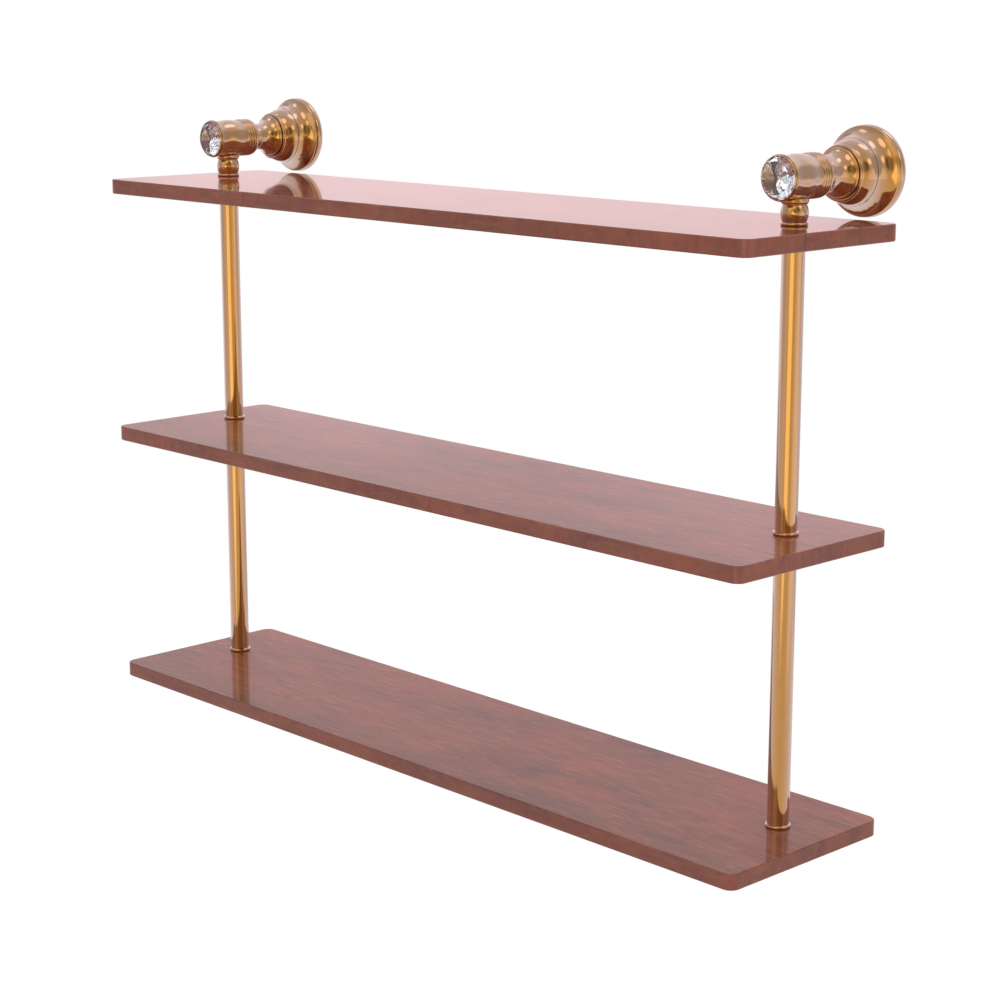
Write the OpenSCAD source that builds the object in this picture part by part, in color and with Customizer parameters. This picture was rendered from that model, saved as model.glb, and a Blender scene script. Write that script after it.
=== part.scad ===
// Wall shelf with brackets: three wooden boards carried by four round rods, which hang from two
// turned brackets with cut crystal ends.
// Frame: the origin lies on the wall, midway between the brackets and level with their axes.
// X runs along the wall, Y points into the wall and Z is up. Every piece lies on the -Y side.

/* [Boards] */
// Length of each board along the wall
board_w = 558.8; // [400:0.1:900]
// Depth of each board, from its back edge to its front edge
board_d = 127; // [100:0.5:200]
// Thickness of each board
board_t = 9.5; // [6:0.5:18]
// Radius of the rounded upright corners of each board
board_corner_r = 6.4; // [2:0.1:20]
// Chamfer along the upper and lower edges of each board
board_chamfer = 0.5; // [0.2:0.1:2]
// Clear height between one board and the next
tier_gap = 158.5; // [80:0.5:300]
// Gap between the wall and the back edge of each board
wall_gap = 12.7; // [2:0.1:30]

/* [Rods] */
// Distance from each end of a board to the axis of its rods
rod_inset = 31.75; // [28:0.05:80]
// Diameter of each rod
rod_d = 12.7; // [10:0.1:16]
// Chamfer on the ends of each rod
rod_chamfer = 0.3; // [0.1:0.1:1]
// Diameter of the round collar at the foot of each rod
collar_d = 14.7; // [13:0.1:20]
// Thickness of that collar
collar_t = 2.1; // [1.5:0.1:4]
// Height of the collar's rounded bead
collar_bead = 0.95; // [0.4:0.05:1.2]

/* [Drop posts] */
// Height of the drop post between the arm and the top board
post_h = 13.3; // [10:0.1:30]
// Diameter of the rounded barrel of the post
post_barrel_d = 15.1; // [13:0.1:20]
// Diameter of the necks at both ends of the barrel
post_neck_d = 12.8; // [11:0.1:15]
// Diameter of the ring at the foot of the post
post_foot_d = 15; // [13:0.1:20]
// Thickness of the foot ring
post_foot_t = 1.9; // [1:0.1:3]
// Diameter of the ring at the top of the post
post_top_d = 15.2; // [13:0.1:17]
// Visible thickness of the top ring
post_top_t = 2; // [1:0.1:3]
// Depth of the flat seat for the post in the underside of the arm
post_seat = 1.2; // [0.6:0.1:3]

/* [Arms] */
// Greatest diameter of the arm's barrel
arm_d = 24.5; // [22:0.1:32]
// Reduction in radius at the waists of the barrel
arm_waist = 0.55; // [0.1:0.05:1]
// Length of the arm ahead of the rod axis
arm_front = 12; // [11:0.1:20]
// Length of the plain barrel behind the rod axis
arm_barrel_back = 8.2; // [6:0.1:14]
// Number of fine beads behind the barrel
bead_count = 3; // [1:1:5]
// Width of each bead
bead_w = 2.1; // [1.2:0.1:3]
// Diameter over the beads
bead_d = 24.7; // [23:0.1:32]
// Depth of the grooves beside the beads
bead_groove = 0.6; // [0.2:0.1:1]
// Width of the plain groove in front of the beads
bead_gap = 1; // [0.5:0.1:3]

/* [Stems] */
// Diameter of the stem's shoulder behind the beads
shoulder_d = 24.6; // [22:0.1:32]
// Width of the plain edge of the shoulder
shoulder_w = 0.5; // [0.3:0.1:2]
// Length over which the shoulder falls to the neck
shoulder_len = 8; // [4:0.1:14]
// Diameter of the neck
neck_d = 17.5; // [14:0.1:20]
// Length of the straight neck
neck_len = 2.5; // [1:0.1:10]
// Radius of the cove that flares from the neck to the bell's mouth
bell_cove_r = 10.3; // [9.5:0.1:20]
// Length of the flaring bell
bell_len = 8.1; // [5:0.1:9]
// Width of the plain rim at the bell's mouth
bell_rim = 0.4; // [0.2:0.1:2]

/* [Flange rings] */
// Diameter over the small bead of the ring behind the bell
ring_small_d = 27.8; // [27:0.1:34]
// Width of the small bead
ring_small_w = 1.9; // [0.8:0.1:3]
// Diameter over the large bead of the ring
ring_large_d = 31; // [29:0.1:36]
// Width of the large bead
ring_large_w = 2.1; // [1:0.1:4]
// Height of the beads on the ring
ring_bead = 0.8; // [0.3:0.1:1.5]

/* [Flanges] */
// Diameter of the flange at the wall
flange_d = 50.4; // [48:0.1:70]
// Diameter of the front face of the flange's neck
flange_nose_d = 29.9; // [28:0.1:34]
// Diameter at the back of the flange's rounded neck
flange_step_d = 36.3; // [34:0.1:42]
// Length of the rounded neck
flange_nose_len = 8.2; // [5:0.1:14]
// Radius of the curve along the rounded neck
flange_nose_r = 11.6; // [10:0.1:60]
// Width of the rounding at the front edge of the neck
flange_edge = 0.8; // [0.3:0.1:2]
// Radius of that rounding
flange_edge_r = 1.8; // [1.2:0.1:6]
// Width of the fine groove behind the rounded neck
flange_groove_w = 0.5; // [0.3:0.1:1.5]
// Depth of that groove
flange_groove = 0.4; // [0.2:0.1:1]
// Length of the flare towards the wall
flare_len = 9.4; // [6:0.1:14]
// Radius of the cove along the flare
flare_r = 10; // [9.5:0.1:80]
// Width of the thin bead between the flare and the wall bead
rim_bead_w = 1.3; // [1:0.1:3]
// Drop of the thin bead below the wall bead, in radius
rim_drop = 0.3; // [0.1:0.1:1]
// Width of the rounded bead at the wall
wall_bead_w = 5.1; // [3.2:0.1:7]
// Height of the thin bead
rim_bead = 0.5; // [0.3:0.1:1]
// Height of the wall bead
wall_bead = 0.9; // [0.3:0.1:1.2]
// Least thickness of the flange's wall round the plate
flange_wall = 4; // [3:0.1:5]
// Thickness of the flange's neck in front of the bolt head
flange_front = 11; // [8:0.1:14]
// Diameter of the hollow round the bolt head
flange_hollow_d = 31; // [26:0.5:34]

/* [Crystals] */
// Diameter of the crystal at its girdle
crystal_d = 22.6; // [16:0.1:23]
// Diameter of its flat table across the corners
table_d = 17.8; // [10:0.1:19]
// Height of its crown
crown_h = 2.8; // [1:0.1:6]
// Depth of its pavilion
pavilion_h = 7.9; // [4:0.1:8.5]
// Thickness of its girdle
girdle_t = 0.3; // [0.1:0.1:1]
// Number of main facets round the crown
facets = 8; // [6:1:16]
// Radius of the crown's middle corners, as a share of the way from the table to the girdle
crown_share = 0.58; // [0.4:0.02:0.8]
// Radius of the pavilion's middle corners, as a share of the girdle
pavilion_share = 0.25; // [0.1:0.01:0.6]

/* [Crystal cups] */
// Least thickness of the cup's wall round the crystal, at its rear bead
cup_wall = 1.05; // [0.9:0.05:3]
// Height by which the rear bead stands proud of the arm
cup_proud = 0.2; // [0:0.05:1]
// Drop of the front bead below the rear bead, in radius
cup_drop = 0.4; // [0.1:0.1:1]
// Width of each of the cup's two beads
cup_bead_w = 1.15; // [0.8:0.05:2]
// Height of the beads
cup_bead = 0.45; // [0.2:0.05:0.8]
// Depth of the girdle behind the cup's lip
cup_lip = 0.5; // [0.2:0.1:1.5]
// Step from the crystal's girdle in to the spigot that enters the arm, in radius
spigot_step = 1.1; // [0.8:0.1:2]
// Thickness of the cup's bottom
cup_bottom = 0.9; // [0.6:0.1:3]

/* [Wall plates] */
// Thickness of the wall plate
plate_t = 5.5; // [4:0.1:8]
// Distance between the two screw holes of a plate
fixing_pitch = 26; // [18:0.5:28]
// Diameter of the screw holes
fixing_hole_d = 4.5; // [3:0.1:6]
// Diameter of their countersinks
fixing_sink_d = 9; // [7:0.1:12]

/* [Fastenings] */
// Diameter of the studs, the tie bolts and the base screws
stud_d = 6; // [5:0.1:6.5]
// Depth to which the studs and screws enter the rods
rod_grip = 12; // [8:0.5:30]
// Height of the post stud's tip above the arm's axis
stud_rise = 4; // [0:0.5:7]
// Depth to which the tie bolt enters the arm
tie_grip = 9.5; // [6:0.1:10]
// Width across the flats of the tie bolt's head
bolt_flats = 10; // [8:0.5:13]
// Height of the tie bolt's head
bolt_head_h = 4; // [3:0.1:5]
// Diameter of the grub screw in the flange
grub_d = 3; // [2:0.1:3]
// Length of the grub screw
grub_len = 3.6; // [2:0.1:4]
// Width across the flats of its socket
grub_flats = 1.5; // [1:0.1:1.6]
// Depth of its socket
grub_socket = 1.2; // [0.8:0.1:2]
// Diameter of the base washer
washer_d = 16; // [13:0.1:24]
// Thickness of the base washer
washer_t = 1.2; // [0.8:0.1:3]
// Diameter of the base screw's domed head
screw_head_d = 13.5; // [11:0.1:20]
// Height of that head
screw_head_h = 3; // [2:0.1:5]
// Width across the flats of the base screw's socket
socket_flats = 4; // [3:0.1:5]

/* [Clearances] */
// Gap all round studs, bolts and screws in metal
fit_gap = 0.1; // [0.05:0.05:0.3]
// Gap all round studs and screws in the boards
board_fit_gap = 0.3; // [0.1:0.05:1]
// Gap round the crystal in its cup
crystal_gap = 0.1; // [0.05:0.05:0.3]
// Gap round the wall plate in the flange
plate_gap = 0.3; // [0.1:0.05:1]

/* [Hidden] */
$fn = 96;
left = -1;
right = 1;
brass = "#c9a064";
wood = "#7d3f31";
steel = "#8d8f92";
glass = "#dfe9f2";

// Lengths along the bracket, from the wall outwards
flange_len = wall_bead_w + rim_bead_w + flare_len + flange_groove_w + flange_nose_len;
ring_len = ring_small_w + ring_large_w;
stem_len = shoulder_w + shoulder_len + neck_len + bell_len + bell_rim;
arm_back = arm_barrel_back + bead_gap + bead_count * bead_w;
stem_back_y = -flange_len - ring_len;
arm_back_y = stem_back_y - stem_len;
rod_y = arm_back_y - arm_back;
arm_front_y = rod_y - arm_front;
cup_front_y = arm_front_y - 2 * cup_bead_w;
girdle_y = cup_front_y + cup_lip;

// Heights, from the bracket's axis downwards
top_z = -arm_d / 2 - post_h;
tier_pitch = tier_gap + board_t;
middle_z = top_z - tier_pitch;
bottom_z = middle_z - tier_pitch;
rod_len = tier_gap - collar_t;

// Board centre line, and the distance between the left and right brackets
board_y = -wall_gap - board_d / 2;
rod_span = board_w - 2 * rod_inset;

// Radii that more than one piece shares
stud_r = stud_d / 2;
bore_r = stud_r + fit_gap;
plate_room_r = flange_d / 2 - flange_wall;
plate_r = plate_room_r - plate_gap;
plate_room = plate_t + plate_gap;
grub_y = -plate_t / 2;
bolt_seat_y = -flange_len + flange_front;
tie_tip_y = arm_back_y - tie_grip;
cone_depth = pavilion_h + crystal_gap;
cup_d = max(crystal_d + 2 * (crystal_gap + cup_wall), arm_d + 2 * cup_proud);
cup_spigot_d = crystal_d - 2 * spigot_step;
cup_back_y = girdle_y + girdle_t + cone_depth + cup_bottom;
seat_z = -arm_d / 2 + post_seat;

// Lays a shape made along +Z out along +Y, starting at y.
module along_y(y = 0) {
    translate([0, y, 0]) rotate([-90, 0, 0]) children();
}

// Places a piece on the left or the right bracket.
module at_side(side) {
    translate([side * rod_span / 2, 0, 0]) children();
}

// Places a piece on the upright axis of one bracket, at height z.
module at_rod(side, z = 0) {
    at_side(side) translate([0, rod_y, z]) children();
}

// Half section of a plain length from z0 to z1.
module length_2d(r, z0, z1) {
    translate([0, z0]) square([r, z1 - z0]);
}

// Half section of a rounded bead from z0 to z1 that stands h above its root.
module bead_2d(r, h, z0, z1) {
    half = (z1 - z0) / 2;
    curve_r = (half * half + h * h) / (2 * h);
    length_2d(r - h, z0, z1);
    intersection() {
        translate([r - curve_r, z0 + half]) circle(curve_r);
        translate([(r - h) / 2, z0]) square([r, z1 - z0]);
    }
}

// Points of a curve from [r0, z0] to [r1, z1] that bends with radius curve_r.
// It bulges away from the axis if bulge is 1, and is hollow if bulge is -1.
function curve_points(r0, z0, r1, z1, curve_r, bulge, steps = 14) =
    let (dr = r1 - r0, dz = z1 - z0, chord = sqrt(dr * dr + dz * dz))
    let (rise = sqrt(curve_r * curve_r - chord * chord / 4))
    let (cr = (r0 + r1) / 2 - bulge * rise * dz / chord)
    let (cz = (z0 + z1) / 2 + bulge * rise * dr / chord)
    let (a0 = atan2(z0 - cz, r0 - cr), a1 = atan2(z1 - cz, r1 - cr))
    let (turn = a1 - a0 > 180 ? a1 - a0 - 360 : a1 - a0 < -180 ? a1 - a0 + 360 : a1 - a0)
    [for (i = [0:steps]) [cr + curve_r * cos(a0 + turn * i / steps), cz + curve_r * sin(a0 + turn * i / steps)]];

// Radius of the arm's barrel at a distance u behind the rod axis.
function barrel_r(u) = arm_d / 2 - arm_waist * pow(sin(90 * u / arm_barrel_back), 2);

// Half section of the board's edge or corner: reach is its distance from the middle.
module chamfered_2d(reach) {
    polygon([
        [0, 0], [reach - board_chamfer, 0], [reach, board_chamfer], [reach, board_t - board_chamfer],
        [reach - board_chamfer, board_t], [0, board_t]
    ]);
}

// Both halves of that section, run out to a length.
module chamfered_run(reach, run) {
    rotate([90, 0, 0]) linear_extrude(run, center = true) {
        chamfered_2d(reach);
        mirror([1, 0]) chamfered_2d(reach);
    }
}

// One board, with its underside at height z and a hole for each rod's stud.
module board(z) {
    corner_x = board_w / 2 - board_corner_r;
    corner_y = board_d / 2 - board_corner_r;
    color(wood) difference() {
        translate([0, board_y, z]) union() {
            chamfered_run(board_w / 2, 2 * corner_y);
            rotate([0, 0, 90]) chamfered_run(board_d / 2, 2 * corner_x);
            for (x = [-corner_x, corner_x], y = [-corner_y, corner_y])
                translate([x, y, 0]) rotate_extrude() chamfered_2d(board_corner_r);
        }
        for (side = [left, right])
            at_rod(side, z - 1) cylinder(r = stud_r + board_fit_gap, h = board_t + 2);
    }
}

module top_board() board(top_z - board_t);
module middle_board() board(middle_z - board_t);
module bottom_board() board(bottom_z - board_t);

// Steel plate that is screwed to the wall and carries the flange.
module wall_plate(side) {
    sink_h = (fixing_sink_d - fixing_hole_d) / 2;
    color(steel) at_side(side) along_y(-plate_t) difference() {
        cylinder(r = plate_r, h = plate_t);
        for (s = [-1, 1]) translate([0, s * fixing_pitch / 2, 0]) {
            translate([0, 0, -1]) cylinder(d = fixing_hole_d, h = plate_t + 2);
            cylinder(d1 = fixing_sink_d, d2 = fixing_hole_d, h = sink_h);
        }
    }
}

// Outer half section of the flange, with its front face at z = 0 and the wall at z = flange_len.
module flange_outline() {
    groove_z = flange_nose_len + flange_groove_w;
    rim_z = groove_z + flare_len;
    wall_bead_z = rim_z + rim_bead_w;
    rim_r = flange_d / 2 - rim_drop;
    nose_r = flange_nose_d / 2;
    edge_z = flange_edge / 2;
    polygon(concat(
        [[0, 0]],
        curve_points(nose_r - flange_edge, 0, nose_r, edge_z, flange_edge_r, 1, 4),
        curve_points(nose_r, edge_z, flange_step_d / 2, flange_nose_len, flange_nose_r, 1),
        [[0, flange_nose_len]]
    ));
    length_2d(flange_step_d / 2 - flange_groove, flange_nose_len, groove_z);
    polygon(concat(
        [[0, groove_z]],
        curve_points(flange_step_d / 2, groove_z, rim_r - rim_bead, rim_z, flare_r, -1),
        [[0, rim_z]]
    ));
    bead_2d(rim_r, rim_bead, rim_z, wall_bead_z);
    bead_2d(flange_d / 2, wall_bead, wall_bead_z, flange_len);
}

// Turned flange that covers the wall plate.
module flange(side) {
    hollow_z = flange_len - plate_room;
    color(brass) at_side(side) difference() {
        along_y(-flange_len) rotate_extrude() difference() {
            flange_outline();
            translate([0, flange_front]) square([flange_hollow_d / 2, flange_len]);
            translate([0, hollow_z]) square([plate_room_r, flange_len]);
            translate([0, -1]) square([bore_r, flange_len]);
        }
        translate([0, grub_y, -flange_d / 2 - 1]) cylinder(d = grub_d + 2 * fit_gap, h = flange_d / 2);
    }
}

// Socket grub screw that locks the flange on the wall plate from below.
module grub_screw(side) {
    color(steel) at_side(side) translate([0, grub_y, -plate_r - grub_len]) difference() {
        cylinder(d = grub_d, h = grub_len);
        translate([0, 0, -1]) cylinder(r = grub_flats / sqrt(3), h = grub_socket + 1, $fn = 6);
    }
}

// Double-beaded ring between the bell and the flange.
module flange_ring(side) {
    color(brass) at_side(side) along_y(stem_back_y) rotate_extrude() difference() {
        union() {
            bead_2d(ring_small_d / 2, ring_bead, 0, ring_small_w);
            bead_2d(ring_large_d / 2, ring_bead, ring_small_w, ring_len);
        }
        translate([0, -1]) square([bore_r, ring_len + 2]);
    }
}

// Turned stem: a shoulder that sweeps down to a neck, and a bell that flares out of it.
module stem(side) {
    neck_z = shoulder_w + shoulder_len;
    bell_z = neck_z + neck_len;
    mouth_z = bell_z + bell_len;
    mouth_r = neck_d / 2 + bell_cove_r - sqrt(bell_cove_r * bell_cove_r - bell_len * bell_len);
    steps = 20;
    sweep = [for (i = [0:steps]) [
        neck_d / 2 + (shoulder_d - neck_d) / 4 * (1 + cos(180 * i / steps)),
        shoulder_w + shoulder_len * i / steps
    ]];
    color(brass) at_side(side) along_y(arm_back_y) rotate_extrude() difference() {
        union() {
            polygon(concat([[0, 0], [shoulder_d / 2, 0]], sweep, [[0, neck_z]]));
            length_2d(neck_d / 2, neck_z, bell_z);
            difference() {
                length_2d(mouth_r, bell_z, mouth_z);
                translate([neck_d / 2 + bell_cove_r, bell_z]) circle(bell_cove_r);
            }
            length_2d(mouth_r, mouth_z, stem_len);
        }
        translate([0, -1]) square([bore_r, stem_len + 2]);
    }
}

// Bolt that ties the flange, the ring and the stem to the arm.
module tie_bolt(side) {
    color(steel) at_side(side) {
        along_y(tie_tip_y) cylinder(r = stud_r, h = bolt_seat_y - tie_tip_y);
        along_y(bolt_seat_y) cylinder(r = bolt_flats / sqrt(3), h = bolt_head_h, $fn = 6);
    }
}

// Half section of the arm, with the rod axis at z = 0.
module arm_outline() {
    steps = 32;
    run = arm_front + arm_barrel_back;
    barrel = [for (i = [0:steps]) let (u = -arm_front + run * i / steps) [barrel_r(u), u]];
    beads_z = arm_barrel_back + bead_gap;
    polygon(concat([[0, -arm_front]], barrel, [[0, arm_barrel_back]]));
    length_2d(bead_d / 2 - bead_groove, arm_barrel_back, beads_z);
    for (i = [0:bead_count - 1])
        bead_2d(bead_d / 2, bead_groove, beads_z + i * bead_w, beads_z + (i + 1) * bead_w);
}

// Turned arm, which holds the crystal's cup in front, the stem behind and the drop post below.
module arm(side) {
    color(brass) at_side(side) difference() {
        along_y(rod_y) rotate_extrude() arm_outline();
        along_y(arm_front_y - 1)
            cylinder(d = cup_spigot_d + 2 * fit_gap, h = cup_back_y - arm_front_y + fit_gap + 1);
        along_y(tie_tip_y - fit_gap) cylinder(r = bore_r, h = arm_back);
        translate([0, rod_y, -arm_d]) cylinder(r = bore_r, h = arm_d + stud_rise + fit_gap);
        translate([0, rod_y, -arm_d]) cylinder(d = post_top_d + 2 * fit_gap, h = arm_d + seat_z);
    }
}

// Turned cup whose two beads frame the crystal.
module crystal_cup(side) {
    bead_z = arm_front_y - cup_front_y;
    girdle_z = cup_lip + girdle_t;
    cup_len = cup_back_y - cup_front_y;
    room_r = crystal_d / 2 + crystal_gap;
    color(brass) at_side(side) along_y(cup_front_y) rotate_extrude() difference() {
        union() {
            bead_2d(cup_d / 2 - cup_drop, cup_bead, 0, cup_bead_w);
            bead_2d(cup_d / 2, cup_bead, cup_bead_w, bead_z);
            length_2d(cup_spigot_d / 2, bead_z, cup_len);
        }
        polygon([[0, -1], [room_r, -1], [room_r, girdle_z], [0, girdle_z + cone_depth]]);
    }
}

// Points of one ring of the crystal's corners, turned by a share of the step between them.
function corner_ring(count, r, z, turn = 0) =
    [for (i = [0:count - 1]) let (a = 360 * (i + turn) / count) [r * cos(a), r * sin(a), z]];

// Brilliant-cut crystal: its table looks out along -Z and its point lies along +Z.
module brilliant() {
    n = facets;
    m = 2 * n;
    girdle_r = crystal_d / 2;
    table_r = table_d / 2;
    tilt = cos(180 / n);
    crown_r = table_r + crown_share * (girdle_r - table_r);
    crown_z = -crown_h * (girdle_r - crown_r * tilt) / (girdle_r - table_r);
    pavilion_r = pavilion_share * girdle_r;
    pavilion_z = girdle_t + pavilion_h * (1 - pavilion_r * tilt / girdle_r);
    points = concat(
        corner_ring(n, table_r, -crown_h),
        corner_ring(n, crown_r, crown_z, 0.5),
        corner_ring(m, girdle_r, 0),
        corner_ring(m, girdle_r, girdle_t),
        corner_ring(n, pavilion_r, pavilion_z, 0.5),
        [[0, 0, girdle_t + pavilion_h]]
    );
    crown = n;
    upper = 2 * n;
    lower = upper + m;
    deep = lower + m;
    tip = deep + n;
    table_face = [[for (i = [0:n - 1]) i]];
    stars = [for (i = [0:n - 1]) [(i + 1) % n, i, crown + i]];
    kites = [for (i = [0:n - 1]) [i, crown + (i + n - 1) % n, upper + 2 * i, crown + i]];
    crown_halves = [for (i = [0:n - 1], s = [0, 1]) [
        crown + i, upper + 2 * i + s, upper + (2 * i + s + 1) % m
    ]];
    girdle = [for (j = [0:m - 1]) [
        upper + (j + 1) % m, upper + j, lower + j, lower + (j + 1) % m
    ]];
    pavilion_halves = [for (i = [0:n - 1], s = [0, 1]) [
        lower + (2 * i + s + 1) % m, lower + 2 * i + s, deep + i
    ]];
    mains = [for (i = [0:n - 1]) [tip, deep + i, lower + 2 * i, deep + (i + n - 1) % n]];
    polyhedron(points, concat(table_face, stars, kites, crown_halves, girdle, pavilion_halves, mains));
}

module crystal(side) {
    color(glass, 0.5) at_side(side) along_y(girdle_y) rotate([0, 0, 180 / facets]) brilliant();
}

// Turned post that carries the top board below the arm.
module drop_post(side) {
    barrel_z = post_foot_t;
    top_ring_z = post_h - post_top_t;
    color(brass) at_rod(side, top_z) rotate_extrude() difference() {
        union() {
            bead_2d(post_foot_d / 2, (post_foot_d - post_neck_d) / 2, 0, barrel_z);
            bead_2d(post_barrel_d / 2, (post_barrel_d - post_neck_d) / 2, barrel_z, top_ring_z);
            bead_2d(post_top_d / 2, (post_top_d - post_neck_d) / 2, top_ring_z, post_h + post_seat);
        }
        translate([0, -1]) square([bore_r, post_h + post_seat + 2]);
    }
}

// Plain stud from height z0 up to z1.
module stud(side, z0, z1) {
    color(steel) at_rod(side, z0) cylinder(r = stud_r, h = z1 - z0);
}

module post_stud(side) stud(side, top_z - board_t - rod_grip, stud_rise);
module joint_stud(side) stud(side, middle_z - board_t - rod_grip, middle_z + collar_t + rod_grip);

// One rod that stands on the collar of the board whose top lies at height z.
module rod(side, z) {
    bore = rod_grip + fit_gap;
    color(brass) at_rod(side, z + collar_t) rotate_extrude() polygon([
        [bore_r, 0], [rod_d / 2 - rod_chamfer, 0], [rod_d / 2, rod_chamfer],
        [rod_d / 2, rod_len - rod_chamfer], [rod_d / 2 - rod_chamfer, rod_len],
        [bore_r, rod_len], [bore_r, rod_len - bore], [0, rod_len - bore], [0, bore], [bore_r, bore]
    ]);
}

module upper_rod(side) rod(side, middle_z);
module lower_rod(side) rod(side, bottom_z);

// Round collar between a rod's foot and the board at height z.
module collar(side, z) {
    color(brass) at_rod(side, z) rotate_extrude() difference() {
        bead_2d(collar_d / 2, collar_bead, 0, collar_t);
        translate([0, -1]) square([bore_r, collar_t + 2]);
    }
}

module middle_collar(side) collar(side, middle_z);
module bottom_collar(side) collar(side, bottom_z);

// Washer under the bottom board.
module base_washer(side) {
    color(brass) at_rod(side, bottom_z - board_t - washer_t) difference() {
        cylinder(d = washer_d, h = washer_t);
        translate([0, 0, -1]) cylinder(r = bore_r, h = washer_t + 2);
    }
}

// Screw with a domed head that holds the bottom board to a lower rod.
module base_screw(side) {
    head_r = screw_head_d / 2;
    dome_r = (head_r * head_r + screw_head_h * screw_head_h) / (2 * screw_head_h);
    seat = bottom_z - board_t - washer_t;
    tip = bottom_z + collar_t + rod_grip;
    color(brass) at_rod(side, seat) difference() {
        union() {
            rotate_extrude() intersection() {
                translate([0, dome_r - screw_head_h]) circle(dome_r);
                translate([0, -screw_head_h]) square([head_r, screw_head_h]);
            }
            cylinder(r = stud_r, h = tip - seat);
        }
        translate([0, 0, -screw_head_h - 1])
            cylinder(r = socket_flats / sqrt(3), h = screw_head_h, $fn = 6);
    }
}

top_board();
middle_board();
bottom_board();
wall_plate(left);  // left_wall_plate
flange(left);  // left_flange
grub_screw(left);  // left_grub_screw
flange_ring(left);  // left_flange_ring
stem(left);  // left_stem
tie_bolt(left);  // left_tie_bolt
arm(left);  // left_arm
crystal_cup(left);  // left_crystal_cup
crystal(left);  // left_crystal
drop_post(left);  // left_drop_post
post_stud(left);  // left_post_stud
upper_rod(left);  // left_upper_rod
middle_collar(left);  // left_middle_collar
joint_stud(left);  // left_joint_stud
lower_rod(left);  // left_lower_rod
bottom_collar(left);  // left_bottom_collar
base_washer(left);  // left_base_washer
base_screw(left);  // left_base_screw
wall_plate(right);  // right_wall_plate
flange(right);  // right_flange
grub_screw(right);  // right_grub_screw
flange_ring(right);  // right_flange_ring
stem(right);  // right_stem
tie_bolt(right);  // right_tie_bolt
arm(right);  // right_arm
crystal_cup(right);  // right_crystal_cup
crystal(right);  // right_crystal
drop_post(right);  // right_drop_post
post_stud(right);  // right_post_stud
upper_rod(right);  // right_upper_rod
middle_collar(right);  // right_middle_collar
joint_stud(right);  // right_joint_stud
lower_rod(right);  // right_lower_rod
bottom_collar(right);  // right_bottom_collar
base_washer(right);  // right_base_washer
base_screw(right);  // right_base_screw
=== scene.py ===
"""A wall shelf with turned brass brackets: finishes, cut crystals and a studio round its CAD model."""

import math

import bpy
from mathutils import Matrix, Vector


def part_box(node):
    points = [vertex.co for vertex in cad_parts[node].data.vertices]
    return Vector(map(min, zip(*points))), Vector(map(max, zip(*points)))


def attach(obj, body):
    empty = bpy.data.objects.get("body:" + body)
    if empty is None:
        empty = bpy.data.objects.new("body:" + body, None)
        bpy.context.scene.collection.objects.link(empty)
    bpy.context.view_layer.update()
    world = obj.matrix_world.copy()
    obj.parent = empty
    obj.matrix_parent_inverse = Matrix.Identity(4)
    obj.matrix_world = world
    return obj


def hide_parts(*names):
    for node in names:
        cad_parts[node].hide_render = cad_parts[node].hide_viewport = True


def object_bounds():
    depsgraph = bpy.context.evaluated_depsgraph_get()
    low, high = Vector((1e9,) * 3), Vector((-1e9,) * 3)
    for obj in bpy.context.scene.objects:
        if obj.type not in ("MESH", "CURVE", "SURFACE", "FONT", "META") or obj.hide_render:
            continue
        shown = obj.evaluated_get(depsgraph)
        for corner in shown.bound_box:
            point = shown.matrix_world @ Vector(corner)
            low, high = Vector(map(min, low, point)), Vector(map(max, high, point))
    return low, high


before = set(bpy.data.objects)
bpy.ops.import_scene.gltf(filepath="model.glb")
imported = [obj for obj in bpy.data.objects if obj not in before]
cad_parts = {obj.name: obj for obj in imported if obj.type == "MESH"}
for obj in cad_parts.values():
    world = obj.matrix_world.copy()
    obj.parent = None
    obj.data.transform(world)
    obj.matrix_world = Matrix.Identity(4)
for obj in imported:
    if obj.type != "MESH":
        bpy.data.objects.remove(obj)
CAD_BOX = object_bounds()

bl_info = {
    "name": "Wall shelf with brackets",
    "version": (1, 0, 0),
    "blender": (4, 5, 0),
    "location": "3D View > Sidebar > Wall shelf",
    "description": "Varnished boards, lacquered brass, cut crystals and a studio set for a wall shelf",
    "category": "Object",
}

SIDES = ("left", "right")
BOARDS = ("top_board", "middle_board", "bottom_board")
# the brass parts turned about a bracket's level axis, and those turned about a rod's upright one
BRACKET_PARTS = ("flange", "flange_ring", "stem", "arm", "crystal_cup")
ROD_PARTS = (
    "drop_post", "upper_rod", "middle_collar", "lower_rod", "bottom_collar", "base_washer", "base_screw",
)
STEEL_PARTS = ("wall_plate", "grub_screw", "tie_bolt", "post_stud", "joint_stud")

MM = 0.001
SNAP = 0.0001 * MM  # a corner this close to a cut counts as on it
WELD = 0.002 * MM  # corners this close become one

CAMERA_PLACE = (1.01665, -1.01071, 0.08827)
CAMERA_TILT = 77.752  # degrees up from straight down
CAMERA_TURN = 46.410  # degrees to the left of square to the wall
LENS_LENGTH = 82.005  # millimetres
SENSOR_WIDTH = 36.0  # millimetres

# the soft boxes: direction from the shelf, and brightness as a share of the full one
SOFT_BOXES = {
    "rear_box": ((-0.05, 0.66, 0.75), 0.2),
    "top_box": ((0.05, 0.2, 0.97), 0.2),
    "front_box": ((0.3, -0.85, 0.45), 0.5),
    "left_box": ((-0.85, -0.1, 0.5), 0.8),
    "right_box": ((0.85, -0.3, 0.45), 0.8),
}

# the rosier wall behind the left end: its direction, and the cosines of the angles from that direction
# at which its tint begins and is full
REAR_WALL = (-0.7, 0.7, 0.14)
REAR_REACH = 0.75
REAR_CORE = 0.94

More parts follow.
